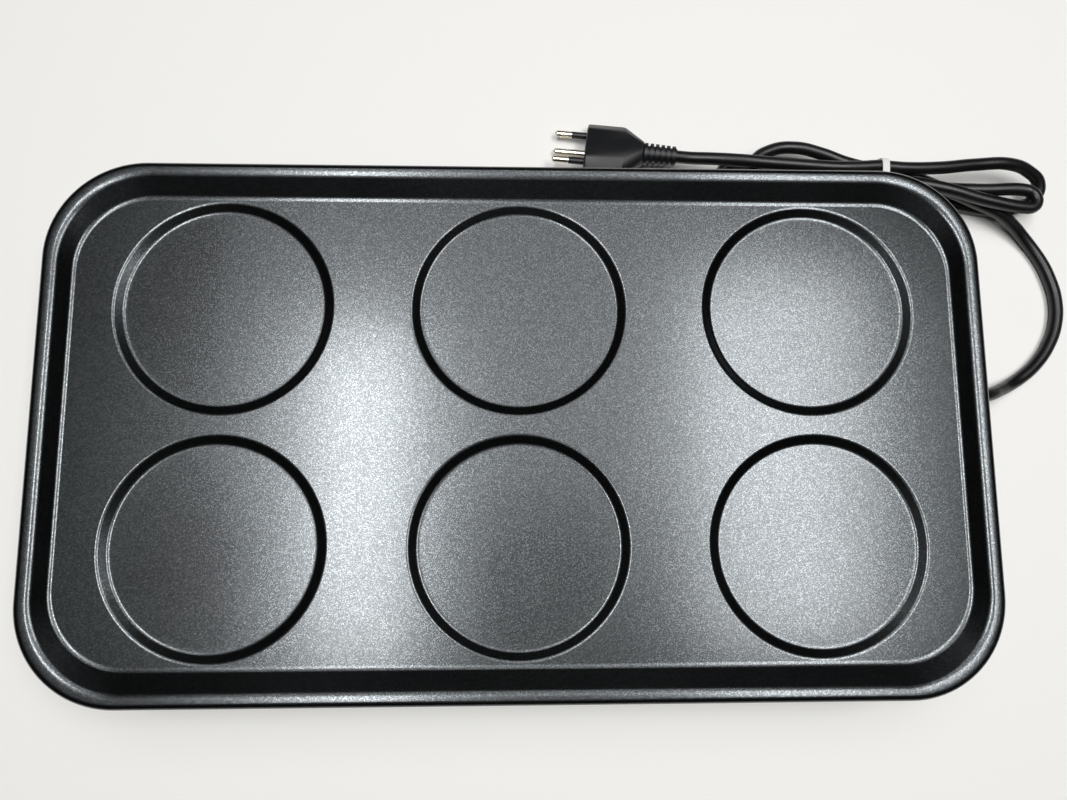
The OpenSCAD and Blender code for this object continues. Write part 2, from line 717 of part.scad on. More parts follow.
module terminal_block() {
    color("whitesmoke") difference() {
        translate([block_x - block_len / 2, gland_y - block_w / 2, tray_in_z])
            cube([block_len, block_w, block_h]);
        for (i = [-1:1], sx = [-1, 1]) {
            translate([block_x + sx * block_len / 2, gland_y + i * block_pitch, block_wire_z])
                rotate([0, -sx * 90, 0]) translate([0, 0, -join])
                    cylinder(r = wire_hole_r, h = block_in + join);
            translate([block_x + sx * block_screw_x, gland_y + i * block_pitch, block_wire_z + wire_r / 2])
                cylinder(r = small_r + slack, h = block_h);
        }
        for (sy = [-1, 1]) translate([block_x, gland_y + sy * block_pitch / 2, tray_z])
            cylinder(r = small_r + slack, h = tray_floor_t + block_h + join);
    }
}

module terminal_screws() {
    color("gold") for (i = [-1:1], sx = [-1, 1])
        translate([block_x + sx * block_screw_x, gland_y + i * block_pitch, block_wire_z + wire_r + slack])
            cylinder(r = small_r, h = tray_in_z + block_h - block_wire_z - wire_r - slack - 1);
}

module block_screws() {
    color("silver") for (sy = [-1, 1])
        translate([block_x, gland_y + sy * block_pitch / 2, tray_in_z + block_h + small_head_h])
            rotate([180, 0, 0]) screw(small_r, small_head_r, small_head_h, block_h + 1.5);
}

module earth_terminal() {
    color("gold") translate([earth_at[0], earth_at[1], slab_z - earth_boss_h - ear_t]) difference() {
        linear_extrude(ear_t) {
            circle(ear_r);
            translate([0, -2.5]) square([earth_tail, 5]);
        }
        translate([0, 0, -join]) cylinder(r = small_r + slack, h = ear_t + 2 * join);
    }
}
earth_tail = 7;

module earth_washer() {
    color("silver") translate([earth_at[0], earth_at[1], slab_z - earth_boss_h - 2 * ear_t]) difference() {
        cylinder(r = ear_r - 0.4, h = ear_t);
        translate([0, 0, -join]) cylinder(r = small_r + slack, h = ear_t + 2 * join);
    }
}

module earth_screw() {
    color("silver") translate([earth_at[0], earth_at[1], slab_z - earth_boss_h - 2 * ear_t - small_head_h])
        screw(small_r, small_head_r, small_head_h, 2 * ear_t + earth_boss_h + 0.4);
}

module cord_sheath() {
    color([0.1, 0.1, 0.1]) translate([sheath_x, gland_y, gland_z]) rotate([0, 90, 0])
        cylinder(r = cord_r, h = relief_x - sheath_x);
}

module cord_clamp() {
    low = gland_z;
    color([0.25, 0.25, 0.25]) difference() {
        translate([clamp_x - clamp_w / 2, gland_y - clamp_screw_y - clamp_post_r, low])
            cube([clamp_w, 2 * (clamp_screw_y + clamp_post_r), clamp_h]);
        translate([clamp_x - clamp_w, gland_y, gland_z]) rotate([0, 90, 0])
            cylinder(r = cord_r + fit, h = 2 * clamp_w);
        for (sy = [-1, 1]) translate([clamp_x, gland_y + sy * clamp_screw_y, low - join])
            cylinder(r = small_r + slack, h = clamp_h + 2 * join);
    }
}

module cord_clamp_screws() {
    color("silver") for (sy = [-1, 1])
        translate([clamp_x, gland_y + sy * clamp_screw_y, gland_z + clamp_h + small_head_h])
            rotate([180, 0, 0]) screw(small_r, small_head_r, small_head_h, gland_z + clamp_h - tray_in_z - 1);
}

// The strain relief seats in the wall between two flanges and tapers along the lead in ribs
module cord_gland() {
    wall_in = tray_hx - tray_wall - tray_draft;
    wall_out = tray_hx;
    ribs = 5;
    tail = relief_x - wall_out - gland_flange_t;
    step = tail / ribs;
    color([0.08, 0.08, 0.08]) translate([0, gland_y, gland_z]) rotate([0, 90, 0]) difference() {
        union() {
            translate([0, 0, wall_in - gland_flange_t - slack])
                cylinder(r = gland_flange_r, h = gland_flange_t);
            translate([0, 0, wall_in - gland_flange_t])
                cylinder(r = gland_neck_r, h = wall_out - wall_in + 2 * gland_flange_t);
            translate([0, 0, wall_out + slack]) cylinder(r = gland_flange_r, h = gland_flange_t);
            translate([0, 0, wall_out + gland_flange_t])
                cylinder(r1 = gland_neck_r, r2 = cord_r + 0.9, h = tail);
            for (i = [0:ribs - 1]) translate([0, 0, wall_out + gland_flange_t + (i + 0.35) * step])
                cylinder(r = cord_r + 2.6 - 0.3 * i, h = step * 0.55);
        }
        translate([0, 0, wall_in - 2 * gland_flange_t])
            cylinder(r = gland_bore_r, h = relief_x - wall_in + 3 * gland_flange_t);
    }
}

// A wire leaves each of its ends straight, the way that the end faces, and follows a few points between
wire_stub = 2.5;
function wire_path(a, way_a, between, b, way_b) =
    concat([a, a + wire_stub * way_a], between, [b + wire_stub * way_b, b]);
bx_in = block_x + block_len / 2;
bx_out = block_x - block_len / 2;
function core_at(a) = [sheath_x, gland_y + core_ring * cos(a), gland_z - core_ring * sin(a)];
function block_in_at(i) = [bx_in - block_in + 1, gland_y + i * block_pitch, block_wire_z];
function block_out_at(i) = [bx_out + block_in - 1, gland_y + i * block_pitch, block_wire_z];
function block_in_mouth(i) = [bx_in + 2, gland_y + i * block_pitch, block_wire_z];
function block_out_mouth(i) = [bx_out - 3, gland_y + i * block_pitch, block_wire_z];
contact_x = element_end_x + seal_len + pin_reach;
fuse_end = fuse_len / 2 + fuse_lead;
function live_y(share) = mix(fuse_y - fuse_end, -row_out, share);
function neutral_y(share) = mix(gland_y + 15, row_out, share);
left = [-1, 0, 0];
right = [1, 0, 0];
back = [0, 1, 0];
down = [0, 0, -1];
wire_paths = [
    wire_path(core_at(30), left, [block_in_mouth(1)], block_in_at(1), right),
    wire_path(core_at(150), left, [block_in_mouth(-1)], block_in_at(-1), right),
    wire_path(core_at(-90), left, [block_in_mouth(0)], block_in_at(0), right),
    wire_path(block_out_at(1), left,
        [block_out_mouth(1), [bx_out - 8, gland_y + 8, 21.5], [bx_out - 11, gland_y + 6.5, 25.5],
        [bx_out - 8, gland_y + 4.5, 30], [bx_out, gland_y + 1.5, 31.5], [bx_out + 12, gland_y - 3, 31],
        [bay_x - 16, blade_y + 5, 29.5], [bay_x - 7, blade_y + 1.5, 29], [bay_x - 2, blade_y + 0.3, 30.5]],
        [bay_x, blade_y, blade_z], down),
    wire_path([bay_x, -blade_y, blade_z], down,
        [[bay_x + 0.5, -blade_y - 1.5, 30.5], [bay_x + 1.5, -blade_y - 6, 29],
        [fuse_x - 0.8, fuse_y + 24, 31], [fuse_x, fuse_y + 20, 37], [fuse_x, fuse_y + 17, 44],
        [fuse_x, fuse_y + 14.5, 49]],
        [fuse_x, fuse_y + fuse_end, fuse_z], back),
    wire_path([fuse_x, fuse_y - fuse_end, fuse_z], -back,
        [[fuse_x + 1, live_y(0.16), 49.5], [fuse_x + 5, live_y(0.32), 47.5],
        [tray_hx - 7, live_y(0.6), 46.6], [tray_hx - 5.2, live_y(0.78), element_z],
        [tray_hx - 5.4, live_y(0.9), element_z], [tray_hx - 7, live_y(0.98), element_z]],
        [contact_x, -row_out, element_z], right),
    wire_path(block_out_at(-1), left,
        [block_out_mouth(-1), [bx_out - 8, gland_y - 7.5, block_wire_z],
        [bx_out - 13, gland_y - 4, block_wire_z], [bx_out - 16, gland_y + 4, block_wire_z],
        [bx_out - 13, gland_y + 15, block_wire_z],
        [bx_out - 3, neutral_y(0.23), 22], [bx_out + 15, neutral_y(0.43), 28],
        [bay_x - 5, neutral_y(0.64), 38], [tray_hx - 10, neutral_y(0.75), 45],
        [tray_hx - 5.6, neutral_y(0.86), element_z], [tray_hx - 5.4, neutral_y(0.94), element_z],
        [tray_hx - 7, neutral_y(0.99), element_z]],
        [contact_x, row_out, element_z], right),
    wire_path(block_out_at(0), left,
        [block_out_mouth(0), [bx_out - 7, gland_y + 1.5, 18.5], [bx_out - 9, gland_y + 7, 16.5],
        [bx_out - 7, gland_y + 15, 15.5], [bx_out, gland_y + 21, 17], [bx_out + 20, gland_y + 22, 22],
        [earth_at[0] - 8, earth_at[1] + 5, 31], [earth_at[0] + 2, earth_at[1] + 2.5, 37],
        [earth_at[0] + earth_tail - 2, earth_at[1] + 0.4, 42]],
        [earth_at[0] + earth_tail - 1.8, earth_at[1], slab_z - earth_boss_h - ear_t], down)];
wire_colours = ["saddlebrown", "royalblue", "yellowgreen", "saddlebrown", "white", "white", "royalblue",
    "yellowgreen"];

module wire(i) {
    color(wire_colours[i]) tube(wire_paths[i], wire_d, wire_sides, up = [0.35, 0.2, 1]);
}

// Places a point of the hank's own frame, along and across its axis, in the world
function hank_world(p, q, z) = [
    hank_at[0] + p * cos(hank_turn) - q * sin(hank_turn),
    hank_at[1] + p * sin(hank_turn) + q * cos(hank_turn), z];
function hank_lift_at(p) = hank_lift * (1 - smooth((abs(p) - hank_straight) / 20));
function level_z(level, p) =
    cord_r + (level - 1) * hank_pitch + mix(hank_lift_at(p), hank_lift, smooth(level - 1));
// The level that a run has reached at p, as it climbs from one level and place to another
function level_at(climb, p) = mix(climb[0], climb[2], smooth((p - climb[1]) / (climb[3] - climb[1])));

// Each lobe has its side, reach, half width, length of its nose, lean, its waist places in and out, and how its
// runs in and out climb. The second lobe lies flat, and the third climbs over the nose of the first
TOP_RUN = [3, 0, 3, 1];
LOW_RUN = [1, 0, 1, 1];
MID_RUN = [2, 0, 2, 1];
RISING_RUN = [1, 36, 3, 79];
FALLING_RUN = [2, -55, 3, 35];
LOBES = [
    [1, 93.4, 11.3, 22, 0, waist_top, waist_low, TOP_RUN, LOW_RUN],
    [-1, 97, 11, 13, -0.035, waist_low, waist_top, LOW_RUN, LOW_RUN],
    [1, 86.5, 5, 8, -0.118, waist_top, waist_low, RISING_RUN, FALLING_RUN],
    [-1, 80, 15.6, 26, 0, waist_low, waist_mid, FALLING_RUN, MID_RUN]];

// One point of a lobe's run, a share s of the way from the waist to the nose, where way is 1 going in and
// -1 coming out
function run_point(lobe, way, s) =
    let (nose = lobe[1] - lobe[3], p = lobe[0] * mix(hank_straight, nose, s),
        waist = way > 0 ? lobe[5] : lobe[6], climb = way > 0 ? lobe[7] : lobe[8],
        q = mix(waist, lobe[4] * nose + way * lobe[0] * lobe[2], smooth(s)))
    hank_world(p, q, level_z(level_at(climb, p), p));
function nose_point(lobe, share) =
    let (nose = lobe[1] - lobe[3], a = 90 - 180 * share, reach = nose + lobe[3] * cos(a),
        q = lobe[4] * reach + lobe[0] * lobe[2] * sin(a), p = lobe[0] * reach,
        level = mix(level_at(lobe[7], lobe[0] * nose), level_at(lobe[8], lobe[0] * nose), share))
    hank_world(p, q, level_z(level, p));
function lobe_points(lobe) = concat([for (s = [0, 1 / 3, 2 / 3]) run_point(lobe, 1, s)],
    [for (i = [0:5]) nose_point(lobe, i / 5)], [for (s = [2 / 3, 1 / 3, 0]) run_point(lobe, -1, s)]);
hank_start = hank_world(0, waist_top, level_z(hank_levels, 0));
hank_end = hank_world(0, waist_mid, level_z(2, 0));
hank_path = concat([hank_start], [for (lobe = LOBES) each lobe_points(lobe)], [hank_end]);

// The least distance between parts of the hank that lie more than three rings apart
function seg_gap(p, a, b) =
    let (d = b - a, t = min(max((p - a) * d / (d * d), 0), 1)) norm(p - a - d * t);
hank_gap = min([for (i = [0:len(hank_path) - 1], j = [0:len(hank_path) - 2])
    if (abs(i - j) > 3 && abs(i - j - 1) > 3) seg_gap(hank_path[i], hank_path[j], hank_path[j + 1])])
    - cord_d;
function length_of(path) =
    let (steps = [for (i = [1:len(path) - 1]) norm(path[i] - path[i - 1])]) steps * [for (v = steps) 1];
echo(hank_gap = hank_gap);

hank_dir = [cos(hank_turn), sin(hank_turn), 0];
lead_path = concat(LEAD_ROUTE, [hank_end + hank_straight * hank_dir, hank_end]);
plug_dir = plug_point([1, 0, 0]) - plug_point([0, 0, 0]);
plug_end = plug_point([plug_flat + plug_taper + plug_relief_len, 0, 0]);
tail_path = concat([hank_start, hank_start - hank_straight * hank_dir], TAIL_ROUTE,
    [plug_end + hank_straight * plug_dir, plug_end]);
echo(lead = length_of(lead_path), hank = length_of(hank_path), tail = length_of(tail_path));

module cord_lead() {
    color([0.09, 0.09, 0.09]) tube(lead_path, cord_d, cord_sides);
}

module cord_hank() {
    color([0.09, 0.09, 0.09]) tube(hank_path, cord_d, hank_sides);
}

module cord_tail() {
    color([0.09, 0.09, 0.09]) tube(tail_path, cord_d, cord_sides);
}

module tie_outline(grow) {
    hull() for (s = [[waist_top, level_z(3, 0)], [waist_mid, level_z(2, 0)], [waist_top, level_z(1, 0)],
            [waist_low, level_z(3, 0)], [waist_low, level_z(1, 0)]])
        translate([s[0], s[1]]) circle(cord_r + slack + grow, $fn = 24);
}

module hank_tie() {
    color("white") translate([hank_at[0], hank_at[1], 0]) rotate([0, 0, hank_turn])
        translate([tie_place - tie_w / 2, 0, 0]) rotate([90, 0, 90]) linear_extrude(tie_w) difference() {
            tie_outline(tie_t);
            tie_outline(0);
        }
}

// A point of the plug's own frame, whose X runs from the face towards the lead
function plug_point(p) =
    let (y1 = p[1] * cos(plug_roll) - p[2] * sin(plug_roll),
        z1 = p[1] * sin(plug_roll) + p[2] * cos(plug_roll),
        x2 = p[0] * cos(plug_rise) - z1 * sin(plug_rise),
        z2 = p[0] * sin(plug_rise) + z1 * cos(plug_rise))
    plug_at + [x2 * cos(plug_yaw) - y1 * sin(plug_yaw), x2 * sin(plug_yaw) + y1 * cos(plug_yaw), z2];

module on_plug() {
    translate(plug_at) rotate([plug_roll, -plug_rise, plug_yaw]) children();
}

pin_spots = [[pin_pitch / 2, 0], [-pin_pitch / 2, 0]];
earth_spot = [0, -earth_off];

module plug_pin_at(p) {
    translate([0, p[0], p[1]]) rotate([0, 90, 0]) children();
}

module plug_section() {
    w = plug_w / 2;
    t = plug_t / 2;
    top = plug_top / 2;
    polygon([[w, -plug_side], [w, plug_side], [top, t], [-top, t], [-w, plug_side], [-w, -plug_side],
        [-top, -t], [top, -t]]);
}

module plug_body() {
    neck = plug_flat + plug_taper;
    color([0.16, 0.17, 0.19]) on_plug() difference() {
        union() {
            hull() {
                rotate([90, 0, 90]) linear_extrude(plug_flat) plug_section();
                translate([neck - 1, 0, 0]) rotate([0, 90, 0]) cylinder(r = rib_r, h = 1, $fn = 32);
            }
            translate([neck - 0.5, 0, 0]) rotate([0, 90, 0])
                cylinder(r1 = core_r, r2 = core_end_r, h = plug_relief_len + 0.5);
            for (i = [0:rib_count - 1]) translate([neck + i * rib_pitch, 0, 0]) rotate([0, 90, 0])
                cylinder(r = mix(rib_r, rib_end_r, i / (rib_count - 1)), h = rib_w);
        }
        for (p = concat(pin_spots, [earth_spot])) plug_pin_at(p) translate([0, 0, -join])
            cylinder(r = pin_d / 2 + fit, h = pin_seat + join);
    }
}

module plug_pin(p) {
    on_plug() plug_pin_at(p) {
        translate([0, 0, -pin_len + 1]) cylinder(r = pin_d / 2, h = pin_len - 1 + pin_seat);
        translate([0, 0, -pin_len]) cylinder(r1 = pin_d / 2 - 0.8, r2 = pin_d / 2, h = 1);
    }
}

// The sleeved pins are waisted where their sleeves sit flush
module sleeved_pin(p) {
    difference() {
        plug_pin(p);
        on_plug() plug_pin_at(p) translate([0, 0, -sleeve_len]) difference() {
            cylinder(r = pin_d, h = sleeve_len);
            translate([0, 0, -join]) cylinder(r = pin_d / 2 - 0.5, h = sleeve_len + 2 * join);
        }
    }
}

module plug_pins_live_neutral() {
    color([0.85, 0.8, 0.7]) for (p = pin_spots) sleeved_pin(p);
}

module plug_pin_earth() {
    color([0.85, 0.8, 0.7]) plug_pin(earth_spot);
}

module plug_sleeves() {
    color([0.09, 0.09, 0.09]) for (p = pin_spots) on_plug() plug_pin_at(p) translate([0, 0, -sleeve_len])
        difference() {
            cylinder(r = pin_d / 2, h = sleeve_len);
            translate([0, 0, -join]) cylinder(r = pin_d / 2 - 0.5 + fit, h = sleeve_len + 2 * join);
        }
}

griddle_plate();
heating_element();
element_seals();
element_contacts();
clamp_bar(-1);  // clamp_bar_left
clamp_bar(1);  // clamp_bar_right
clamp_bar_screws();
reflector_sheet();
base_tray();
base_screws();
for (i = [0:len(SPACERS) - 1]) spacer(i);
for (i = [0:len(FEET) - 1]) foot(i);
for (i = [0:len(PADS) - 1]) foot_pad(i);
foot_screws();
foot_nuts();
thermostat_body();
thermostat_cap();
thermostat_blades();
thermostat_screws();
thermal_fuse();
fuse_clip();
fuse_screw();
terminal_block();
terminal_screws();
block_screws();
earth_terminal();
earth_washer();
earth_screw();
cord_sheath();
cord_clamp();
cord_clamp_screws();
cord_gland();
for (i = [0:len(WIRES) - 1]) wire(i);
cord_lead();
cord_hank();
cord_tail();
hank_tie();
plug_body();
plug_pins_live_neutral();
plug_pin_earth();
plug_sleeves();
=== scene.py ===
import math

import bmesh
import bpy
from mathutils import Matrix, Vector


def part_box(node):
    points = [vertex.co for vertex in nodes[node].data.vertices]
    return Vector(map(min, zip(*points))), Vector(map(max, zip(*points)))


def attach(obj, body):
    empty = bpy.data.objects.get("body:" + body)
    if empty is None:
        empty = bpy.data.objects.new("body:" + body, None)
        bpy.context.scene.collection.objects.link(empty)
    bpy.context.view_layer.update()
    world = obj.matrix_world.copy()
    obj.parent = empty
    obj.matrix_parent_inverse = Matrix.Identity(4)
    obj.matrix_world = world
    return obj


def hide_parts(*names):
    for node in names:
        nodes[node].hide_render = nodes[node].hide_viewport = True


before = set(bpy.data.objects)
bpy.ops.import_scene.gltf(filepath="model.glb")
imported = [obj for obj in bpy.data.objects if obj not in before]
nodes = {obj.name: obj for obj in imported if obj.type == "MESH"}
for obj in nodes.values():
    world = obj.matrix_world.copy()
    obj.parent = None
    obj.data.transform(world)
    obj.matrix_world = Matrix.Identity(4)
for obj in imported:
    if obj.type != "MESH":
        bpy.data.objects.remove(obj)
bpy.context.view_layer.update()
scene = bpy.context.scene

# Camera
# A phone held over the table, a little in front of the plate's middle. It looks down, eight
# degrees towards the back. Its lens is given for a sensor 36 mm wide.
camera_data = bpy.data.cameras.new("camera")
camera_data.sensor_width = 36
camera_data.lens = 26.99
camera_data.clip_start = 0.01
camera = bpy.data.objects.new("camera", camera_data)
camera.location = (-0.0070, -0.0433, 0.4600)
camera.rotation_euler = [math.radians(a) for a in (7.9, -1.98, -0.21)]
scene.collection.objects.link(camera)
scene.camera = camera

# Mains lead
# One length of round black flex, 7.4 mm thick. From the relief in the base's right side it drops
# to the table and runs round behind the plate, into a hank of four lobes and on to its plug.
lead_d = 0.0074
lead_r = lead_d / 2
lead_exit = (0.250, 0.0205, 0.018)
LEAD_ROUTE = [
    lead_exit, (0.258, 0.0205, 0.018), (0.265, 0.021, 0.0171), (0.272, 0.0223, 0.0145),
    (0.279, 0.0248, 0.0102), (0.288, 0.0285, 0.0055), (0.298, 0.0343, 0.0038),
    (0.308, 0.043, 0.0037), (0.316, 0.054, 0.0037), (0.321, 0.066, 0.0037),
    (0.3225, 0.080, 0.0037), (0.320, 0.0935, 0.0037), (0.314, 0.1075, 0.0037),
    (0.3055, 0.1185, 0.0052), (0.2965, 0.1262, 0.0088), (0.286, 0.1323, 0.0121),
    (0.274, 0.1376, 0.0126), (0.262, 0.1428, 0.0128), (0.250, 0.148, 0.0128),
    (0.238, 0.153, 0.0128)]
TAIL_ROUTE = [
    (0.203, 0.156, 0.0207), (0.188, 0.1556, 0.0207), (0.174, 0.1562, 0.0207),
    (0.160, 0.1571, 0.0207), (0.146, 0.158, 0.0207), (0.134, 0.159, 0.0206),
    (0.123, 0.1602, 0.0194), (0.113, 0.1616, 0.0172)]

# The hank's own frame has P along it, towards the right, and Q across it, towards the back. Its
# strands lie on three levels, one pitch apart. They are lifted where the tie goes under them.
hank_turn = math.radians(-3.7)
hank_axis = Vector((math.cos(hank_turn), math.sin(hank_turn), 0))
hank_across = Vector((-math.sin(hank_turn), math.cos(hank_turn), 0))
hank_middle = Vector((0.219, 0.152, 0))
hank_pitch = 0.0079
hank_lift = 0.0012
lift_fade = 0.020
hank_straight = 0.008
waist_top, waist_mid, waist_low = 0.004, 0.006, -0.004
# A run climbs from a level and a place along the hank to another level and place
TOP_RUN = (3, 0, 3, 0.001)
LOW_RUN = (1, 0, 1, 0.001)
MID_RUN = (2, 0, 2, 0.001)
RISING_RUN = (1, 0.036, 3, 0.079)
FALLING_RUN = (2, -0.055, 3, 0.035)
# Each lobe has its side, reach, half width, length of its nose and lean, then its places at the
# waist and its runs, in and out
LOBES = [
    (1, 0.0934, 0.0113, 0.022, 0, waist_top, waist_low, TOP_RUN, LOW_RUN),
    (-1, 0.097, 0.011, 0.013, -0.035, waist_low, waist_top, LOW_RUN, LOW_RUN),
    (1, 0.0865, 0.0053, 0.0058, -0.118, waist_top, waist_low, RISING_RUN, FALLING_RUN),
    (-1, 0.080, 0.0156, 0.026, 0, waist_low, waist_mid, FALLING_RUN, MID_RUN)]
run_shares = (0, 1 / 3, 2 / 3)
nose_steps = 5


def eased(t):
    t = min(max(t, 0), 1)
    return t * t * (3 - 2 * t)


def mixed(a, b, share):
    return a + (b - a) * share


def hank_world(p, q, z):
    point = hank_middle + p * hank_axis + q * hank_across
    return Vector((point.x, point.y, z))


def level_z(level, p):
    low_lift = hank_lift * (1 - eased((abs(p) - hank_straight) / lift_fade))
    return lead_r + (level - 1) * hank_pitch + mixed(low_lift, hank_lift, eased(level - 1))


def level_at(climb, p):
    from_level, from_p, to_level, to_p = climb
    return mixed(from_level, to_level, eased((p - from_p) / (to_p - from_p)))


def run_point(lobe, way, share):
    side, reach, half, nose_length, lean, waist_in, waist_out, climb_in, climb_out = lobe
    nose = reach - nose_length
    p = side * mixed(hank_straight, nose, share)
    waist, climb = (waist_in, climb_in) if way > 0 else (waist_out, climb_out)
    q = mixed(waist, lean * nose + way * side * half, eased(share))
    return hank_world(p, q, level_z(level_at(climb, p), p))


def nose_point(lobe, share):
    side, reach, half, nose_length, lean, _, _, climb_in, climb_out = lobe
    nose = reach - nose_length
    a = math.radians(90 - 180 * share)
    far = nose + nose_length * math.cos(a)
    q = lean * far + side * half * math.sin(a)
    level = mixed(level_at(climb_in, side * nose), level_at(climb_out, side * nose), share)
    return hank_world(side * far, q, level_z(level, side * far))


hank_points = [hank_world(0, waist_top, level_z(3, 0))]
for lobe in LOBES:
    hank_points += [run_point(lobe, 1, share) for share in run_shares]
    hank_points += [nose_point(lobe, i / nose_steps) for i in range(nose_steps + 1)]
    hank_points += [run_point(lobe, -1, share) for share in reversed(run_shares)]
hank_points.append(hank_world(0, waist_mid, level_z(2, 0)))

# The plug's own frame has its X from the pins' face towards the lead
plug_place = Matrix.Translation((0.0403, 0.1706, 0.0092)) @ (
    Matrix.Rotation(math.radians(-7), 4, "Z")
    @ Matrix.Rotation(math.radians(-5), 4, "Y")
    @ Matrix.Rotation(math.radians(-15), 4, "X"))
plug_length = 0.054
plug_end = plug_place @ Vector((plug_length, 0, 0))
plug_way = plug_place.to_3x3() @ Vector((1, 0, 0))
straight_in = 0.008

route = [Vector(p) for p in LEAD_ROUTE]
route += [hank_points[-1] + hank_straight * hank_axis]
route += list(reversed(hank_points))
route += [hank_points[0] - hank_straight * hank_axis]
route += [Vector(p) for p in TAIL_ROUTE]
route += [plug_end + straight_in * plug_way, plug_end]

lead_curve = bpy.data.curves.new("mains_lead", "CURVE")
lead_curve.dimensions = "3D"
lead_curve.resolution_u = 8
lead_curve.bevel_depth = lead_r
lead_curve.bevel_resolution = 6
lead_curve.use_fill_caps = True
spline = lead_curve.splines.new("BEZIER")
spline.bezier_points.add(len(route) - 1)
for knot, place in zip(spline.bezier_points, route):
    knot.co = place
    knot.handle_left_type = knot.handle_right_type = "AUTO"
# Where the lead lies on the table it runs level, so that it doesn't dip into it
resting_z = lead_r + 0.0004
for knot in spline.bezier_points:
    if knot.co.z < resting_z:
        knot.handle_left_type = knot.handle_right_type = "FREE"
        knot.handle_left.z = knot.handle_right.z = knot.co.z
mains_lead = bpy.data.objects.new("mains_lead", lead_curve)
scene.collection.objects.link(mains_lead)


def new_material(name):
    made = bpy.data.materials.new(name)
    made.use_nodes = True
    tree = made.node_tree
    shader = tree.nodes["Principled BSDF"]
    place = tree.nodes.new("ShaderNodeTexCoord")
    return made, tree, shader, place.outputs["Object"]


def noise(tree, place, scale, detail=2.0):
    made = tree.nodes.new("ShaderNodeTexNoise")
    made.inputs["Scale"].default_value = scale
    made.inputs["Detail"].default_value = detail
    tree.links.new(place, made.inputs["Vector"])
    return made.outputs["Fac"]


def spread(tree, value, low, high, from_low=0.3, from_high=0.7):
    made = tree.nodes.new("ShaderNodeMapRange")
    made.inputs["From Min"].default_value = from_low
    made.inputs["From Max"].default_value = from_high
    made.inputs["To Min"].default_value = low
    made.inputs["To Max"].default_value = high
    tree.links.new(value, made.inputs["Value"])
    return made.outputs["Result"]


def blended(tree, value, dark, light, from_low=0.3, from_high=0.7):
    made = tree.nodes.new("ShaderNodeValToRGB")
    made.color_ramp.elements[0].position = from_low
    made.color_ramp.elements[0].color = (*dark, 1)
    made.color_ramp.elements[1].position = from_high
    made.color_ramp.elements[1].color = (*light, 1)
    tree.links.new(value, made.inputs["Fac"])
    return made.outputs["Color"]


def raised(tree, shader, height, depth, strength=1.0):
    made = tree.nodes.new("ShaderNodeBump")
    made.inputs["Strength"].default_value = strength
    made.inputs["Distance"].default_value = depth
    tree.links.new(height, made.inputs["Height"])
    tree.links.new(made.outputs["Normal"], shader.inputs["Normal"])


def tinted(tree, shader, pattern, colour, variation, roughness, roughness_change):
    dark = [min(c * (1 - variation), 1) for c in colour]
    light = [min(c * (1 + variation), 1) for c in colour]
    tint = blended(tree, pattern, dark, light)
    tree.links.new(tint, shader.inputs["Base Color"])
    rough = spread(tree, pattern, roughness - roughness_change, roughness + roughness_change)
    tree.links.new(rough, shader.inputs["Roughness"])


def moulded(name, colour, roughness, grain, depth, mottle=0.12):
    made, tree, shader, place = new_material(name)
    cloud = noise(tree, place, scale=60, detail=3)
    fine = noise(tree, place, grain)
    tinted(tree, shader, cloud, colour, mottle, roughness, roughness_change=0.05)
    raised(tree, shader, fine, depth)
    return made


flex_black = moulded(
    "flex_black", (0.0045, 0.0045, 0.005), roughness=0.34, grain=900, depth=0.00004)
mains_lead.data.materials.append(flex_black)
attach(mains_lead, "root")
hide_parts("cord_lead", "cord_hank", "cord_tail")


# Strain relief and sheath
# A ribbed rubber sleeve, gripped by the base's side wall between its two flanges. The lead's
# outer sheath runs on inside it to the cord clamp.
def dress(names, material):
    for name in names:
        node = nodes[name]
        node.data.materials.clear()
        node.data.materials.append(material)


dress(["cord_gland", "cord_sheath"], flex_black)

# Plug
# A flat moulded plug with two sleeved round pins and an earth pin between them, set off to one
# side. Its body is one soft-edged moulding on the lead, with a tail of six ribs.
plug_flat = 0.022
plug_neck = 0.035
# Corners of the eight-sided body: half its width and half its thickness there
PLUG_CORNERS = ((0.01775, 0.0016), (0.0105, 0.0065))
QUARTERS = ((1, 1), (-1, 1), (-1, -1), (1, -1))
plug_round = 0.0014
tail_root = plug_neck - 0.003
tail_bore_r = 0.002
rib_count = 6
rib_width = 0.0019
rib_end_gap = 0.00085
rib_pitch = (plug_length - plug_neck - rib_width - rib_end_gap) / (rib_count - 1)
rib_r, rib_end_r, core_r, core_end_r = 0.0064, 0.0057, 0.0049, 0.0045
round_steps = 40


def finished(name, bm, material, sharp):
    bmesh.ops.recalc_face_normals(bm, faces=bm.faces)
    mesh = bpy.data.meshes.new(name)
    bm.to_mesh(mesh)
    bm.free()
    mesh.shade_smooth()
    mesh.set_sharp_from_angle(angle=math.radians(sharp))
    mesh.materials.append(material)
    made = bpy.data.objects.new(name, mesh)
    scene.collection.objects.link(made)
    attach(made, "root")
    return made


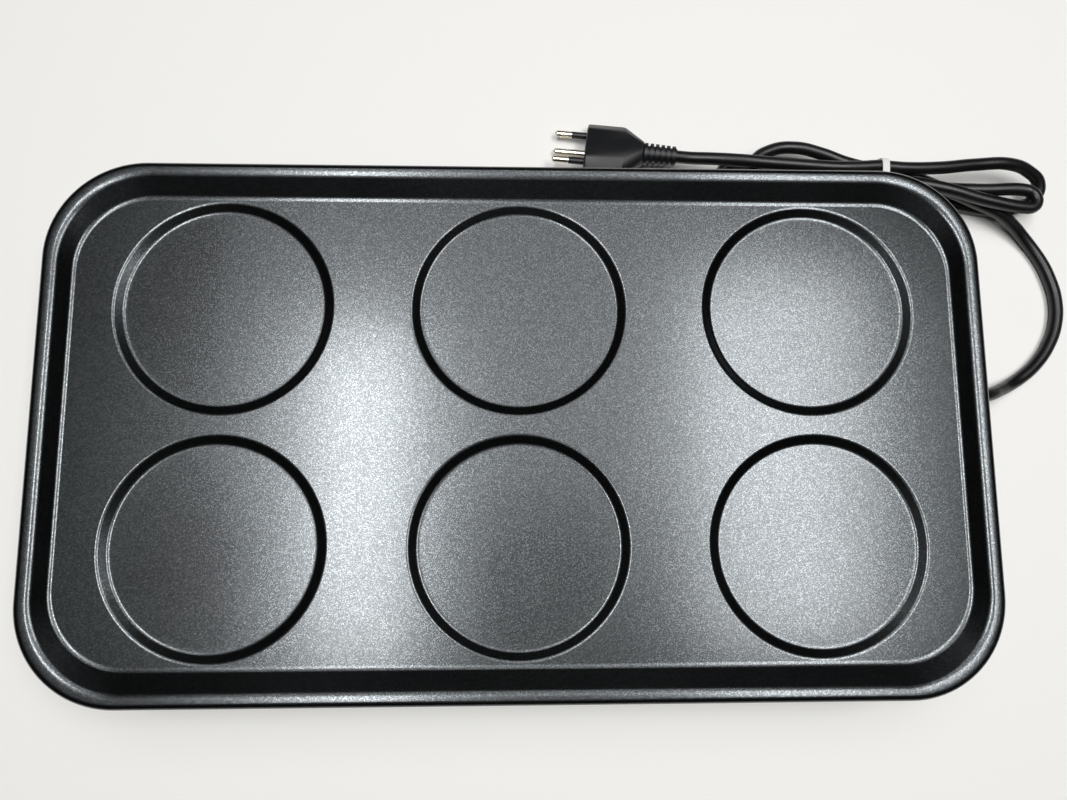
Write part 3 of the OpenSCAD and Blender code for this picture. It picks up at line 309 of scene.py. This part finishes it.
plug_black = moulded(
    "plug_black", (0.007, 0.0075, 0.009), roughness=0.4, grain=1500, depth=0.00003)
grip = bmesh.new()
for x in (0, plug_flat):
    for y, z in PLUG_CORNERS:
        for sy, sz in QUARTERS:
            grip.verts.new((x, sy * y, sz * z))
bmesh.ops.create_circle(
    grip, segments=round_steps, radius=rib_r,
    matrix=Matrix.Translation((plug_neck, 0, 0)) @ Matrix.Rotation(math.radians(90), 4, "Y"))
bmesh.ops.convex_hull(grip, input=grip.verts)
bmesh.ops.dissolve_limit(
    grip, angle_limit=math.radians(1), verts=grip.verts, edges=grip.edges)
corners = [e for e in grip.edges if e.calc_face_angle(0) > math.radians(20)]
bmesh.ops.bevel(
    grip, geom=corners, offset=plug_round, segments=4, profile=0.5, affect="EDGES",
    material=-1, clamp_overlap=True)

outline = [(tail_root, tail_bore_r), (tail_root, core_r)]
for i in range(rib_count):
    start = plug_neck + i * rib_pitch
    share = i / (rib_count - 1)
    outer, inner = mixed(rib_r, rib_end_r, share), mixed(core_r, core_end_r, share)
    outline += [(start, inner), (start, outer)]
    outline += [(start + rib_width, outer), (start + rib_width, inner)]
outline += [(plug_length, core_end_r), (plug_length, tail_bore_r)]
tail_profile = [grip.verts.new((x, 0, z)) for x, z in outline]
tail_edges = [grip.edges.new(pair) for pair in zip(tail_profile, tail_profile[1:])]
tail_edges.append(grip.edges.new((tail_profile[-1], tail_profile[0])))
bmesh.ops.spin(
    grip, geom=tail_profile + tail_edges, cent=(0, 0, 0), axis=(1, 0, 0), angle=2 * math.pi,
    steps=round_steps, use_merge=True)
grip.transform(plug_place)
plug_grip = finished("plug_grip", grip, plug_black, sharp=45)
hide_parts("plug_body")
dress(["plug_sleeves"], plug_black)


metal_streaks = 0.08


def metal(name, colour, roughness, scale, stretch=(1, 1, 1)):
    made, tree, shader, place = new_material(name)
    turned = tree.nodes.new("ShaderNodeMapping")
    turned.inputs["Scale"].default_value = stretch
    tree.links.new(place, turned.inputs["Vector"])
    streaks = noise(tree, turned.outputs["Vector"], scale, detail=3)
    tinted(tree, shader, streaks, colour, metal_streaks, roughness, roughness_change=0.06)
    shader.inputs["Metallic"].default_value = 1
    raised(tree, shader, streaks, 0.00002)
    return made


pin_nickel = metal("pin_nickel", (0.72, 0.67, 0.58), roughness=0.22, scale=700)
dress(["plug_pins_live_neutral", "plug_pin_earth"], pin_nickel)

# Hank tie
# A narrow white band drawn tight round the waist of the hank.
tie_white = moulded(
    "tie_white", (0.80, 0.80, 0.78), roughness=0.45, grain=1200, depth=0.00003, mottle=0.04)
dress(["hank_tie"], tie_white)

# Base tray, feet and pads
# A shallow black moulding with rounded lower edges closes the underside. Four feet are bolted
# under it, each with a rubber pad.
base_black = moulded(
    "base_black", (0.022, 0.022, 0.023), roughness=0.55, grain=1400, depth=0.00006)
feet = ["foot_front_left", "foot_back_left", "foot_front_right", "foot_back_right"]
dress(["base_tray", "cord_clamp", *feet], base_black)
pad_rubber = moulded(
    "pad_rubber", (0.045, 0.045, 0.045), roughness=0.8, grain=2000, depth=0.00005)
dress([n for n in nodes if n.startswith("foot_pad_")], pad_rubber)

# Inside
# The heating element and its fixings, the thermostat, fuse, terminal block and wires lie closed
# in between the tray and the plate.
zinc = metal("zinc", (0.60, 0.61, 0.63), roughness=0.35, scale=400)
brass = metal("brass", (0.75, 0.56, 0.26), roughness=0.32, scale=500)
sheet_aluminium = metal(
    "sheet_aluminium", (0.75, 0.76, 0.77), roughness=0.3, scale=60, stretch=(1, 30, 1))
element_sheath = metal("element_sheath", (0.33, 0.31, 0.29), roughness=0.5, scale=300)
dress(["heating_element"], element_sheath)
dress(["reflector_sheet", "thermostat_cap"], sheet_aluminium)
dress([n for n in nodes if n.endswith(("_screws", "_screw", "_nuts", "_washer"))], zinc)
dress([n for n in nodes if n.startswith(("spacer_", "clamp_bar_"))], zinc)
dress(["fuse_clip"], zinc)
dress(["element_contacts", "thermostat_blades", "terminal_screws", "earth_terminal"], brass)
ceramic = moulded("ceramic", (0.75, 0.72, 0.63), roughness=0.7, grain=1500, depth=0.00005)
dress(["element_seals"], ceramic)
bakelite = moulded(
    "bakelite", (0.16, 0.07, 0.035), roughness=0.35, grain=800, depth=0.00003, mottle=0.3)
dress(["thermostat_body"], bakelite)
fuse_sleeve = moulded(
    "fuse_sleeve", (0.62, 0.52, 0.38), roughness=0.8, grain=2500, depth=0.0001)
dress(["thermal_fuse"], fuse_sleeve)
block_white = moulded(
    "block_white", (0.80, 0.80, 0.76), roughness=0.4, grain=900, depth=0.00003, mottle=0.04)
dress(["terminal_block"], block_white)
for colour_name, colour, members in (
        ("wire_brown", (0.15, 0.05, 0.02), ("wire_live_in", "wire_live_out")),
        ("wire_white", (0.72, 0.70, 0.64), ("wire_link", "wire_live_element")),
        ("wire_blue", (0.03, 0.10, 0.42), ("wire_neutral_in", "wire_neutral_element")),
        ("wire_green", (0.22, 0.48, 0.05), ("wire_earth_in", "wire_earth_plate"))):
    insulation = moulded(colour_name, colour, roughness=0.45, grain=1500, depth=0.00003)
    dress(members, insulation)

# Griddle plate
# One aluminium casting with six shallow wells and a rolled rim, sprayed with a dark non-stick
# coat full of fine metal flakes. It is 483 by 271.5 mm.
half_length, half_width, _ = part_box("griddle_plate")[1]
cook_z = 0.056
rim_z = cook_z + 0.0073
rim_edge_z = rim_z - 0.0003
skirt_z = cook_z - 0.010
under_z = cook_z - 0.003
well_x, well_y = 0.1513, 0.0607
well_depth = 0.003
well_radii = (0.05645, 0.0555, 0.0513, 0.0495)
well_round = 0.0009
pad_radii = (0.055, 0.053, 0.052)
# The skirt leans, so the corner of its unrounded section stands out past the widest place
lean_out = 0.00029
# The section from the floor over the rim and back under it. Each row has its insets at the ends
# and at the sides, its corners' radius, its height, and its rounding with the steps in it.
PLATE_ROWS = [
    (0.01505, 0.01855, 0.03795, cook_z, 0, 0),
    (0.0135, 0.0170, 0.0395, cook_z, 0.0015, 6),
    (0.0078, 0.0066, 0.0458, rim_edge_z, 0.0018, 6),
    (0.0039, 0.0033, 0.0481, rim_z, 0, 0),
    (-lean_out, -lean_out, 0.0505 + lean_out, rim_edge_z, 0.0034, 10),
    (0.0012, 0.0012, 0.0493, skirt_z, 0.0006, 3),
    (0.0034, 0.0034, 0.0471, skirt_z, 0.0006, 3),
    (0.0026, 0.0026, 0.0479, cook_z + 0.0043, 0.0012, 3),
    (0.0064, 0.0062, 0.0455, cook_z + 0.0037, 0.0012, 3),
    (0.0120, 0.0155, 0.0405, cook_z - 0.0024, 0, 0),
    (0.0163, 0.0198, 0.0367, under_z, 0, 0)]


def rounded_loop(bm, end_in, side_in, radius, height):
    old = set(bm.edges)
    x, y = half_length - end_in, half_width - side_in
    corners = [bm.verts.new((sx * x, sy * y, height)) for sx, sy in QUARTERS]
    for i in range(4):
        bm.edges.new((corners[i - 1], corners[i]))
    bmesh.ops.bevel(
        bm, geom=corners, offset=radius, segments=24, profile=0.5, affect="VERTICES",
        material=-1)
    return [e for e in bm.edges if e not in old]


def dished(bm, centre, height, radii, drops):
    # Sinks a disc in rings, each of a radius and a drop, and gives the edges on each radius
    known = set(bm.faces)
    bmesh.ops.create_circle(
        bm, cap_ends=True, segments=96, radius=radii[0],
        matrix=Matrix.Translation((*centre, height)))
    disc = next(f for f in bm.faces if f not in known)
    disc.normal_update()
    for outer, inner, drop in zip(radii, radii[1:], drops):
        bmesh.ops.inset_individual(
            bm, faces=[disc], thickness=outer - inner, depth=-drop * disc.normal.z,
            use_even_offset=True)
    edges = {e for f in bm.faces if f not in known for e in f.edges}

    def lies_on(edge, radius):
        return all(
            abs((v.co.xy - Vector(centre)).length - radius) < 0.0001 for v in edge.verts)

    return [[e for e in edges if lies_on(e, radius)] for radius in radii]


def eased_edge(bm, loop, size, segments):
    bmesh.ops.bevel(
        bm, geom=loop, offset=size, segments=segments, profile=0.5, affect="EDGES",
        material=-1, offset_type="OFFSET")


plate = bmesh.new()
plate_loops = [rounded_loop(plate, *row[:4]) for row in PLATE_ROWS]
for near, far in zip(plate_loops, plate_loops[1:]):
    bmesh.ops.bridge_loops(plate, edges=near + far)
well_lips, pad_rims, well_rounds = [], [], []
for sx in (-1, 0, 1):
    for sy in (-1, 1):
        centre = (sx * well_x, sy * well_y)
        lip, edge, foot, _ = dished(plate, centre, cook_z, well_radii, (0, well_depth, 0))
        well_lips += lip
        well_rounds += [edge, foot]
        pad_rims += dished(plate, centre, under_z, pad_radii, (well_depth, 0))[0]
bmesh.ops.triangle_fill(plate, edges=plate_loops[0] + well_lips, use_beauty=True)
bmesh.ops.triangle_fill(plate, edges=plate_loops[-1] + pad_rims, use_beauty=True)
for loop, (*_, size, steps) in zip(plate_loops, PLATE_ROWS):
    if steps:
        eased_edge(plate, loop, size, steps)
for loop in well_rounds:
    eased_edge(plate, loop, well_round, 5)

coat, tree, shader, place = new_material("flaked_nonstick")
cells = tree.nodes.new("ShaderNodeTexVoronoi")
cells.inputs["Scale"].default_value = 2900
tree.links.new(place, cells.inputs["Vector"])
parts = tree.nodes.new("ShaderNodeSeparateColor")
tree.links.new(cells.outputs["Color"], parts.inputs["Color"])
flake = blended(
    tree, parts.outputs["Red"], (0.050, 0.0545, 0.0575), (0.144, 0.153, 0.158), 0.55, 1.0)
tree.links.new(flake, shader.inputs["Base Color"])
shader.inputs["Metallic"].default_value = 1
shader.inputs["Coat Weight"].default_value = 0.2
shader.inputs["Coat Roughness"].default_value = 0.14
rough = spread(tree, noise(tree, place, scale=14, detail=3), 0.22, 0.26)
tree.links.new(rough, shader.inputs["Roughness"])
raised(tree, shader, parts.outputs["Green"], 0.00001, strength=0.12)
griddle = finished("griddle_casting", plate, coat, sharp=50)
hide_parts("griddle_plate")

# Table and light
# A plain white table under two long lamps and a wide, dim ceiling. The lamps give the plate its
# two soft bands.
table_mesh = bmesh.new()
bmesh.ops.create_grid(table_mesh, x_segments=1, y_segments=1, size=4)
mesh = bpy.data.meshes.new("table")
table_mesh.to_mesh(mesh)
table_mesh.free()
table = bpy.data.objects.new("table", mesh)
scene.collection.objects.link(table)
table_white, _, shader, _ = new_material("table_white")
shader.inputs["Base Color"].default_value = (0.93, 0.921, 0.892, 1)
shader.inputs["Roughness"].default_value = 0.6
table.data.materials.append(table_white)


def lamp(name, place, size, energy):
    data = bpy.data.lights.new(name, "AREA")
    data.shape = "RECTANGLE"
    data.size, data.size_y = size
    data.energy = energy
    made = bpy.data.objects.new(name, data)
    made.location = place
    scene.collection.objects.link(made)


lamp("lamp_left", (-0.43, 0.0, 2.0), size=(0.26, 1.0), energy=14)
lamp("lamp_right", (0.82, 0.12, 2.0), size=(0.50, 1.1), energy=17.5)
lamp("ceiling", (0, 0.7, 2.0), size=(1.7, 1.4), energy=10.5)

# The world glows overhead and is dark towards the horizon, so the plate's walls stay dark
world = bpy.data.worlds.new("world")
scene.world = world
world.use_nodes = True
tree = world.node_tree
sky = tree.nodes["Background"]
sky.inputs["Color"].default_value = (1, 1, 1, 1)
outwards = tree.nodes.new("ShaderNodeTexCoord")
height = tree.nodes.new("ShaderNodeSeparateXYZ")
tree.links.new(outwards.outputs["Generated"], height.inputs["Vector"])
glow = spread(tree, height.outputs["Z"], 0.02, 0.62, from_low=0.76, from_high=1.0)
tree.links.new(glow, sky.inputs["Strength"])
scene.view_settings.view_transform = "Standard"
